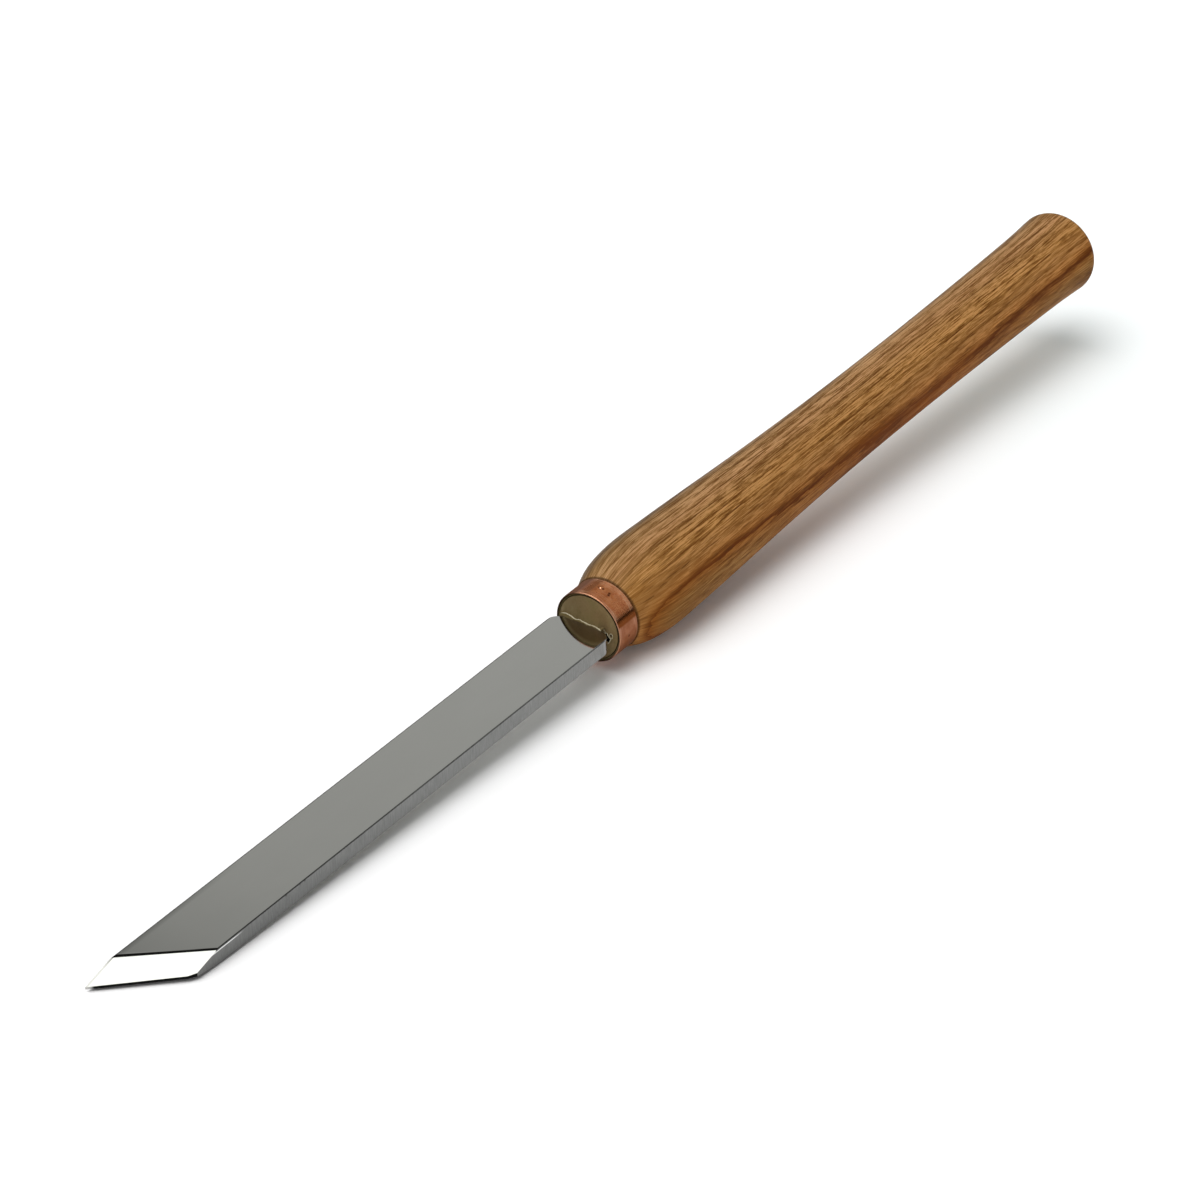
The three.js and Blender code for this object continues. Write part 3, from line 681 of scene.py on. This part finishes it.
def tube(bm, path, radii, segments, closed=False):
    """Adds a round cord along a path, capped unless it closes on itself."""
    path = [Vector(spot) for spot in path]
    count = len(path)
    side = None
    rings = []
    for k, spot in enumerate(path):
        ahead = path[(k + 1) % count] if closed or k < count - 1 else spot
        behind = path[k - 1] if closed or k else spot
        way = (ahead - behind).normalized()
        side = side or way.orthogonal()
        side = (side - way * side.dot(way)).normalized()
        other = way.cross(side)
        turns = [2 * math.pi * j / segments for j in range(segments)]
        offsets = [side * math.cos(turn) + other * math.sin(turn) for turn in turns]
        rings.append([bm.verts.new(spot + offset * radii[k]) for offset in offsets])
    for a, b in zip(rings, rings[1:] + rings[:1] if closed else rings[1:]):
        bridge(bm, a, b)
    if not closed:
        bm.faces.new(rings[0])
        bm.faces.new(rings[-1])


# Handle


def wood_outline():
    def between(shares, a, b):
        return [(FERRULE_LENGTH + along * WOOD, a + (b - a) * out) for along, out in shares]

    end = FERRULE_LENGTH + WOOD
    points = [
        (WOOD_FRONT, FRONT_RADIUS),
        *between(RISE_SHARES, FRONT_RADIUS, BELLY),
        *between(FALL_SHARES, BELLY, WAIST),
        *between(FLARE_SHARES, WAIST, BUTT),
        (end - BUTT_ROUND, BUTT),
    ]
    butt = arc(end - BUTT_ROUND, BUTT - BUTT_ROUND, BUTT_ROUND, math.pi / 2, 0, BUTT_STEPS)
    return catmull_rom(points, PROFILE_STEPS) + butt[1:]


def make_handle(wood):
    outer = wood_outline()
    outer[0] = (WOOD_FRONT + FRONT_EASE, outer[0][1])
    rounding = FRONT_EASE * ROUNDING_SHARE
    end = FERRULE_LENGTH + WOOD
    outline = [
        (BORE_END, 0), (BORE_END, BORE), (MOUTH_END, BORE), (MOUTH_END, MOUTH),
        (TENON_FRONT, MOUTH), (TENON_FRONT, TENON), (WOOD_FRONT, TENON),
        (WOOD_FRONT, FRONT_RADIUS - FRONT_EASE), (WOOD_FRONT + rounding, FRONT_RADIUS - rounding),
        *outer, (end, BUTT_RING), (end, 0),
    ]
    return new_object("handle_wood", turned(outline, WOOD_SEGMENTS), [wood])


# Ferrule


def dented_radius(x, radius, angle):
    """The radius at a place on the ferrule, less by the dents where it is on the outside."""
    if radius < FERRULE_RADIUS - FERRULE_BACK:
        return radius
    for place, degrees, depth, width in DENTS:
        turn = (angle - math.radians(degrees) + math.pi) % (2 * math.pi) - math.pi
        away = math.hypot(x - place, turn * FERRULE_RADIUS) / width
        if away < DENT_REACH:
            radius -= depth * math.exp(-away * away)
    return radius


def make_ferrule(copper):
    radius, back, fold = FERRULE_RADIUS, FERRULE_BACK, FERRULE_TURNED_IN
    slope = [(place, FERRULE_BORE + out) for place, out in FERRULE_SLOPE]
    rim = arc(fold, radius - fold, fold, math.pi, math.pi / 2, FERRULE_TURNED_STEPS)
    straight = FERRULE_LENGTH - back - fold
    body = [(fold + straight * k / FERRULE_ROWS, radius) for k in range(1, FERRULE_ROWS + 1)]
    rounding = back * ROUNDING_SHARE
    outline = [
        *slope, *rim, *body, (FERRULE_LENGTH - rounding, radius - rounding),
        (FERRULE_LENGTH, radius - back), (FERRULE_LENGTH, FERRULE_BORE),
    ]
    return new_object("ferrule_copper", turned(outline, FERRULE_SEGMENTS, dented_radius), [copper])


# Blade

# Forward is towards the tip
UP, DOWN, FORWARD = Vector((0, 0, 1)), Vector((0, 0, -1)), Vector((-1, 0, 0))
POLISHED_SLOT, SIDE_SLOT, UNDER_SLOT, EDGE_SLOT = range(4)
# How far a face's normal leans, at least, to count as forward, sideways or down, and at most as upright
FORWARD_LEAN, SIDE_LEAN, DOWN_LEAN, UPRIGHT_LEAN = 0.3, 0.66, 0.6, 0.2


def edge_at(across):
    return -REACH + (WIDTH / 2 - across) / math.tan(SKEW)


def facing(normal, way):
    """The normal, turned over where it points away from the way given."""
    return normal if normal.dot(way) > 0 else -normal


def blade_bar():
    """The flat bar with its tang and its eased edges, which runs on past the tip."""
    half, thick = WIDTH / 2, THICK / 2
    start, end = -STANDOFF, -STANDOFF + TANG_LENGTH
    root, tip = TANG_ROOT / 2, TANG_TIP / 2
    near_middle, far_middle = start - NEAR_SHOULDER, start - SHOULDER
    quarter = math.pi / 2
    plan = [
        (edge_at(half) - TIP_OVERRUN, half), (edge_at(-half) - TIP_OVERRUN, -half),
        *arc(near_middle, NEAR_SHOULDER - half, NEAR_SHOULDER, -quarter, 0, NEAR_SHOULDER_STEPS),
        (start, -root), (end, -tip), (end, tip), (start, root),
        *arc(far_middle, half - SHOULDER, SHOULDER, 0, quarter, SHOULDER_STEPS),
    ]
    turns = [k / EASE_STEPS * quarter for k in range(EASE_STEPS + 1)]
    levels = [(EASE * (1 - math.sin(t)), -thick + EASE * (1 - math.cos(t))) for t in turns]
    levels += [(gap, -z) for gap, z in reversed(levels)]
    bm = bmesh.new()
    rings = [[bm.verts.new((x, y, z)) for x, y in inset(plan, gap)] for gap, z in levels]
    for a, b in zip(rings, rings[1:]):
        bridge(bm, a, b)
    bm.faces.new(rings[0])
    bm.faces.new(rings[-1])
    return bm


def tip_cuts():
    """Planes as a place and an outward normal: the blunt edge and its worn near end, the lower bevel,
    then the upper one with its heel rounded by cuts round an arc."""
    near, far = Vector(EDGE_NEAR), Vector(EDGE_FAR)
    near_low = near + DOWN * EDGE_FLAT
    (x0, y0), (x1, y1) = WORN_NEAR_END
    cuts = [
        (near, facing((far - near).cross(UP), FORWARD)),
        (Vector((x0, y0, 0)), Vector((y1 - y0, x0 - x1, 0))),
        (near_low, facing((Vector(LOW_HEEL_FAR) - near_low).cross(far - near), DOWN)),
    ]
    heel, heel_end = (Vector((*spot, THICK / 2)) for spot in HEEL_LINE)
    along = (heel_end - heel).normalized()
    outward = facing(along.cross(UP), FORWARD).normalized()
    centres = [
        spot - outward * radius * math.tan(GRIND / 2) - UP * radius
        for spot, radius in zip((heel, heel_end), HEEL_ROUNDS)
    ]
    for k in range(HEEL_CUTS, 0, -1):
        lean = GRIND * k / HEEL_CUTS
        normal = UP * math.cos(lean) + outward * math.sin(lean)
        touch, touch_end = (centre + normal * radius for centre, radius in zip(centres, HEEL_ROUNDS))
        cuts.append((touch, facing(normal.cross(along).cross(touch_end - touch), UP)))
    return cuts


def steel_slot(normal):
    """The sides and the shoulders keep the bar's coarser finish, also painted darker as a reflection of the
    floor in shade, and the underside is painted dark as shade.
    """
    if normal.x < -FORWARD_LEAN and abs(normal.z) < UPRIGHT_LEAN:
        return EDGE_SLOT
    if math.hypot(normal.x, normal.y) > SIDE_LEAN:
        return SIDE_SLOT
    return UNDER_SLOT if normal.z < -DOWN_LEAN else POLISHED_SLOT


def make_blade(steel):
    bm = blade_bar()
    for spot, normal in tip_cuts():
        cut = bmesh.ops.bisect_plane(
            bm, geom=bm.verts[:] + bm.edges[:] + bm.faces[:], dist=CUT_TOLERANCE,
            plane_co=spot, plane_no=normal.normalized(), clear_outer=True,
        )
        edges = [e for e in cut["geom_cut"] if isinstance(e, bmesh.types.BMEdge)]
        bmesh.ops.edgeloop_fill(bm, edges=edges)
    bm.normal_update()
    for face in bm.faces:
        face.material_index = steel_slot(face.normal)
    made = new_object("blade_steel", bm, steel, PLACE @ SEAT, BLADE_SHARP)
    weighted = made.modifiers.new("flat_faces", "WEIGHTED_NORMAL")
    weighted.keep_sharp = True
    weighted.weight = 100
    return made


# Adhesive


def end_face():
    """The end face as a function of y and z, with the part squeezed out behind the blade."""
    rng = np.random.default_rng(BUMP_SEED)
    bumps = [
        (*rng.uniform(-BUMP_SPREAD, BUMP_SPREAD, 2), rng.uniform(*BUMP_WIDTHS), rng.normal() * BUMP_HEIGHT)
        for _ in range(BUMPS)
    ]
    shelf_y, shelf_x = zip(*sorted((y, x) for x, y, _ in BEAD_SHELF))
    # The void's sides, each as a corner and a normal into it
    hollow = []
    for (y0, z0), (y1, z1) in zip(VOID, VOID[1:] + VOID[:1]):
        length = math.hypot(y1 - y0, z1 - z0)
        hollow.append(((y0, z0), ((z0 - z1) / length, (y1 - y0) / length)))

    def front(y, z):
        x = FACE + sum(h * math.exp(-((y - a) ** 2 + (z - b) ** 2) / (w * w)) for a, b, w, h in bumps)
        # Across from the blade's middle, and out from its nearer face
        side = y - SEAT_SIDE
        above = abs(z + SEAT_DROP) - THICK / 2
        lip = FACE - float(np.interp(side, shelf_y, shelf_x))
        shelf = SHELF + (lip - SHELF) * smoothstep(above, *SHELF_LIP)
        shelf *= smoothstep(above, *SHELF_TOP)
        near_end = SHELF_NEAR + SHELF_NEAR_LEAN * smoothstep(z, *SHELF_NEAR_LOW)
        shelf *= smoothstep(side, near_end, near_end + SHELF_NEAR_FADE) * smoothstep(side, *SHELF_FAR)
        # Its near end runs out downwards in a wedge
        cut_away = 1 - min(max((z - WEDGE_FOOT) / WEDGE_HEIGHT, 0), 1)
        shelf *= 1 - cut_away * smoothstep(side, *WEDGE_FADE)
        # A broad swelling carries the bead without a step
        swell = lip * math.exp(-max(above - SWELL_START, 0) / SWELL_REACH)
        swell *= 1 - (math.hypot(y, z) / SWELL_RADIUS) ** SWELL_POWER
        swell *= smoothstep(side, *SWELL_NEAR) * smoothstep(side, *SWELL_FAR) * smoothstep(z, *SWELL_LOW)
        inside = min((y - a[0]) * n[0] + (z - a[1]) * n[1] for a, n in hollow)
        x -= max(shelf, swell) * smoothstep(inside, *VOID_CLEAR)
        x += VOID_DEPTH * smoothstep(inside, *VOID_WALL)
        x += PINHOLE_DEPTH * smoothstep(math.dist((y, z), PINHOLE), *PINHOLE_WALL)
        return min(max(x, FACE_FRONT), FACE_BACK)

    return front


def make_epoxy(epoxy):
    """The end face over rows across the section, and behind it the body down to the bore's end."""
    front = end_face()
    disc = FERRULE_BORE - FACE_GAP
    fine = np.concatenate([np.arange(*span) for span in FINE_ROWS])
    rows = sorted({round(float(z), 4) for z in [*np.arange(-disc, disc, ROW_STEP), *fine]})
    rows = [z for z in rows if abs(z) < disc - ROW_MARGIN]
    bm = bmesh.new()
    grid = []
    for z in rows:
        wide = math.sqrt(disc * disc - z * z)
        # The columns are closer towards both ends of a row
        even = [2 * k / FACE_COLUMNS - 1 for k in range(FACE_COLUMNS + 1)]
        crowded = [-math.cos(math.pi * k / FACE_COLUMNS) for k in range(FACE_COLUMNS + 1)]
        spots = [wide * (EVEN_SHARE * a + (1 - EVEN_SHARE) * b) for a, b in zip(even, crowded)]
        grid.append([bm.verts.new((front(y, z), y, z)) for y in spots])
    for a, b in zip(grid, grid[1:]):
        for k in range(FACE_COLUMNS):
            bm.faces.new((a[k], a[k + 1], b[k + 1], b[k]))
    rim = grid[0] + [row[-1] for row in grid[1:-1]] + grid[-1][::-1] + [row[0] for row in grid[-2:0:-1]]
    mouth, mouth_end, bore = MOUTH - GLUE_GAP, MOUTH_END - GLUE_GAP, BORE - GLUE_GAP
    behind = [
        (GLUE_RIM, FERRULE_BORE - 2 * GLUE_GAP), (GLUE_RIM + GLUE_GAP, mouth),
        (mouth_end, mouth), (mouth_end, bore), (GLUE_END, bore),
    ]
    for x, radius in behind:
        turns = [math.atan2(vert.co.z, vert.co.y) for vert in rim]
        ring = [bm.verts.new((x, radius * math.cos(turn), radius * math.sin(turn))) for turn in turns]
        bridge(bm, rim, ring)
        rim = ring
    bm.faces.new(rim)
    return new_object("tang_epoxy", bm, [epoxy])


def seated(spot):
    """A place in the blade's frame, seen from the tool's."""
    return tuple(SEAT @ (Vector(spot) * MM) / MM)


def make_bead(cream):
    """The cream line along the blade's rear edge, with a strand beside it and a ring round a pinhole."""
    bm = bmesh.new()
    spine = catmull_rom([seated(spot) for spot in BEAD_SHELF] + BEAD_FACE, BEAD_STEPS)
    count = len(spine)
    wave = [smooth_noise(seed, count, WAVE_POINTS) * BEAD_WAVE for seed in WAVE_SEEDS]
    path = [(x + wave[0][k], y, z + wave[1][k]) for k, (x, y, z) in enumerate(spine)]
    lumps = np.maximum(1 + smooth_noise(LUMP_SEED, count, LUMP_POINTS) * BEAD_LUMPS, BEAD_THINNEST)
    ends = [min(1, BEAD_END + min(k, count - 1 - k) / BEAD_TAPER) for k in range(count)]
    sizes = [BEAD_RADIUS if y > BEAD_CORNER else BEAD_FACE_RADIUS for _, y, _ in path]
    radii = [size * float(lump) * end for size, lump, end in zip(sizes, lumps, ends)]
    tube(bm, path, radii, CORD_SEGMENTS)
    strand = catmull_rom(STRAND, STRAND_STEPS)
    tube(bm, strand, [STRAND_RADIUS] * len(strand), FINE_CORD_SEGMENTS)
    x, y, z = RING_AT
    wide, tall = RING_RADII
    turns = [2 * math.pi * k / RING_STEPS for k in range(RING_STEPS)]
    around = [(x, y + wide * math.cos(turn), z + tall * math.sin(turn)) for turn in turns]
    tube(bm, around, [RING_CORD] * RING_STEPS, FINE_CORD_SEGMENTS, closed=True)
    return new_object("epoxy_bead", bm, [cream])


# Studio


def make_floor():
    """A white floor. Where it is seen, or mirrored in metal, it is lifted so that its shadow is neutral."""
    made, g, p = material("floor_white")
    x, _, _ = g.split(p)
    paper = g.node("ShaderNodeBsdfDiffuse", {"Color": (1.0, 1.0, 1.0, 1)})
    path = g.node("ShaderNodeLightPath").outputs
    seen = g.add(path["Is Camera Ray"], path["Is Glossy Ray"])
    seen = g.add(seen, path["Is Transmission Ray"], clamp=True)
    # The glow is weaker beside the blade and bluer towards the butt: painted light that sets how deep and
    # how warm the shadow looks
    tint = g.mix(g.range(x, *LIFT_TO_FRONT), LIFT_BLADE, LIFT_FRONT)
    tint = g.mix(g.range(x, *LIFT_TO_BUTT), tint, LIFT_BUTT)
    glow = g.node("ShaderNodeEmission", {"Color": tint, "Strength": g.multiply(seen, FLOOR_LIFT)})
    both = g.node("ShaderNodeAddShader", {0: paper.outputs[0], 1: glow.outputs[0]})
    g.node("ShaderNodeOutputMaterial", {"Surface": both.outputs[0]})
    bm = bmesh.new()
    bmesh.ops.create_grid(bm, x_segments=1, y_segments=1, size=FLOOR_HALF)
    floor = new_object("floor", bm, [made], Matrix.Identity(4))


def direction(azimuth, elevation):
    a, e = math.radians(azimuth), math.radians(elevation)
    return Vector((math.cos(a) * math.cos(e), math.sin(a) * math.cos(e), math.sin(e)))


def make_world():
    """A grey room with a dark horizon, a lit patch overhead and a wide panel on the left."""
    world = bpy.data.worlds.new("studio")
    bpy.context.scene.world = world
    world.use_nodes = True
    g = Graph(world.node_tree)
    way = g.node("ShaderNodeTexCoord").outputs["Generated"]
    _, _, up = g.split(way)
    rise = g.math("DIVIDE", g.math("ARCSINE", up), math.pi / 2)
    ahead, behind = (
        g.ramp(rise, [(degrees / 90, level) for degrees, level in room])
        for room in (ROOM_AHEAD, ROOM_BEHIND)
    )
    level_way = g.vmath("NORMALIZE", g.vmath("MULTIPLY", way, (1, 1, 0)))
    facing_ahead = g.vmath("DOT_PRODUCT", level_way, direction(AHEAD_WAY, 0))
    near_side = g.vmath("DOT_PRODUCT", level_way, (0, -1, 0))
    behind = g.shade(behind, g.range(near_side, 0.2, 0.75, 1.0, NEAR_SIDE_LEVEL))
    room = g.mix(g.range(facing_ahead, -0.1, 0.25, kind="SMOOTHSTEP"), behind, ahead)
    to_panel = g.vmath("DOT_PRODUCT", way, direction(*PANEL_WAY))
    outer, inner = (math.cos(math.radians(PANEL_RADIUS + soft)) for soft in (PANEL_SOFT, -PANEL_SOFT))
    mask = g.range(to_panel, outer, inner, kind="SMOOTHSTEP")
    mask = g.multiply(mask, g.range(facing_ahead, 0.6, 0.3))
    sky = g.mix(mask, room, (PANEL_LEVEL,) * 3)
    back = g.node("ShaderNodeBackground", {"Color": sky, "Strength": 1.0})
    g.node("ShaderNodeOutputWorld", {"Surface": back.outputs[0]})


def make_key():
    lamp = bpy.data.lights.new("softbox", "SUN")
    lamp.energy = KEY_LEVEL * math.pi
    lamp.angle = math.radians(KEY_ANGLE)
    key = bpy.data.objects.new("softbox", lamp)
    bpy.context.scene.collection.objects.link(key)
    key.rotation_mode = "QUATERNION"
    key.rotation_quaternion = Vector(KEY_WAY).to_track_quat("Z", "Y")


def make_camera():
    data = bpy.data.cameras.new("camera")
    data.sensor_width = SENSOR
    data.lens = LENS
    data.clip_start, data.clip_end = CLIP
    camera = bpy.data.objects.new("camera", data)
    bpy.context.scene.collection.objects.link(camera)
    turn = Euler([math.radians(angle) for angle in CAMERA_TURNS]).to_matrix().to_4x4()
    camera.matrix_world = Matrix.Translation(Vector(CAMERA_AT) * MM) @ turn
    bpy.context.scene.camera = camera


wood, copper = wood_material(), copper_material()
steel = [
    steel_material("polished_steel", *POLISHED),
    steel_material("ground_shaded_steel", *GROUND_AND_SHADED, ground=True),
    steel_material("underside_shade_steel", *UNDERSIDE_SHADE),
    edge_material(),
]
epoxy, cream = epoxy_material(), bead_material()
pieces = [
    (make_handle(wood), "handle", "varnished_wood"),
    (make_ferrule(copper), "ferrule", "copper"),
    (make_blade(steel), "blade_with_tang", "polished_steel"),
    (make_epoxy(epoxy), "tang_adhesive", "adhesive"),
    (make_bead(cream), None, "adhesive"),
]
for piece, node, slot in pieces:
    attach(piece, "root")
    if node:
        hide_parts(node)

make_floor()
make_world()
make_key()
make_camera()
bpy.context.scene.view_settings.view_transform = "Standard"
